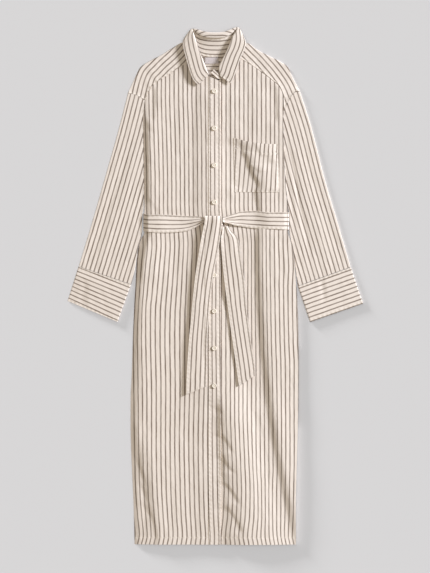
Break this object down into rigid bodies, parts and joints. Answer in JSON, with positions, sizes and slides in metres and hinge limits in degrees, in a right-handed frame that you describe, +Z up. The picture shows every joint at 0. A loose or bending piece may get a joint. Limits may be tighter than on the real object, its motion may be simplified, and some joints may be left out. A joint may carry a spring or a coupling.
{
  "type": "shirt dress",
  "caption": "Striped linen shirt dress with a folded collar, chest pocket, deep cuffs and a tie belt, laid flat face up.",
  "frame": {"origin": "middle of the dress's outline on the surface it lies on, at z = 0", "axes": "+X to the wearer's left, +Y from the hem to the collar, +Z up out of the front of the dress"},
  "size_m": [0.7235, 1.2616, 0.0203],
  "materials": {
    "striped_linen": "matt woven linen, cream with narrow brown-grey stripes 11 mm apart",
    "button_shell": "satin cream",
    "label_ribbon": "woven ribbon, bare"
  },
  "bodies": {
    "root": {"back_panel": "striped_linen", "yoke": "striped_linen", "right_front": "striped_linen", "left_front": "striped_linen", "front_placket": "striped_linen", "chest_pocket": "striped_linen", "right_sleeve": "striped_linen", "left_sleeve": "striped_linen", "right_cuff": "striped_linen", "left_cuff": "striped_linen", "collar_stand": "striped_linen", "collar_leaf": "striped_linen", "belt_waist": "striped_linen", "belt_knot": "striped_linen", "belt_tail_over": "striped_linen", "belt_tail_under": "striped_linen", "neck_label": "label_ribbon", "button_1": "button_shell", "button_2": "button_shell", "button_3": "button_shell", "button_4": "button_shell", "button_5": "button_shell", "button_6": "button_shell", "button_7": "button_shell", "button_8": "button_shell", "button_9": "button_shell"}
  },
  "joints": []
}
